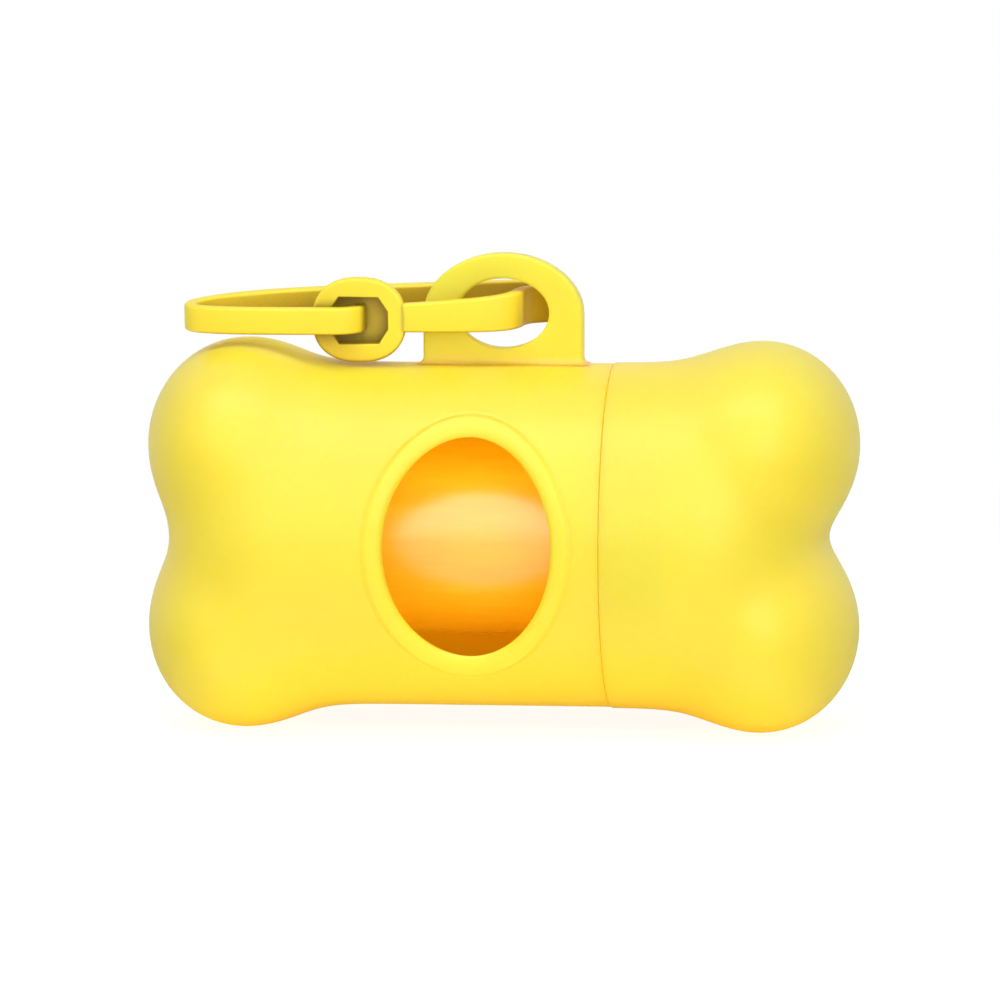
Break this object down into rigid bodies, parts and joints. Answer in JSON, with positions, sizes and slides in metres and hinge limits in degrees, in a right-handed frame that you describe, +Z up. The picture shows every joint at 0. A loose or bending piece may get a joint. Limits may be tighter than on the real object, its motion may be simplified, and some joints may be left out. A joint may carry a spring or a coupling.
{
  "type": "dog poop bag dispenser",
  "caption": "Yellow bone-shaped dispenser for a roll of dog waste bags, with an oval window, a pull-off end cap and a buttoned hanging strap.",
  "frame": {"origin": "under the middle of the bone, on the surface that its knobs stand on", "axes": "+X along the bone towards the cap, +Z up, -Y towards the side with the window"},
  "size_m": [0.082, 0.04, 0.0549],
  "materials": {
    "shell_plastic": "satin moulded yellow plastic",
    "strap_plastic": "satin soft yellow plastic",
    "core_card": "plain brown card",
    "bag_film": "thin glossy orange film"
  },
  "bodies": {
    "shell": {"body_shell": "shell_plastic"},
    "cap": {"end_cap": "shell_plastic"},
    "strap": {"strap": "strap_plastic"},
    "roll": {"roll_core": "core_card", "bag_roll": "bag_film"}
  },
  "joints": [
    {"name": "cap_pull", "type": "slide", "parent": "shell", "child": "cap", "axis": [1, 0, 0], "range_m": [0, 0.04]},
    {"name": "strap_swing", "type": "hinge", "parent": "shell", "child": "strap", "pos_m": [0.001, 0, 0.04865], "axis": [0, 1, 0], "range_deg": [0, 180]},
    {"name": "roll_spin", "type": "hinge", "parent": "shell", "child": "roll", "pos_m": [0, 0, 0.0225], "axis": [1, 0, 0], "continuous": true}
  ]
}
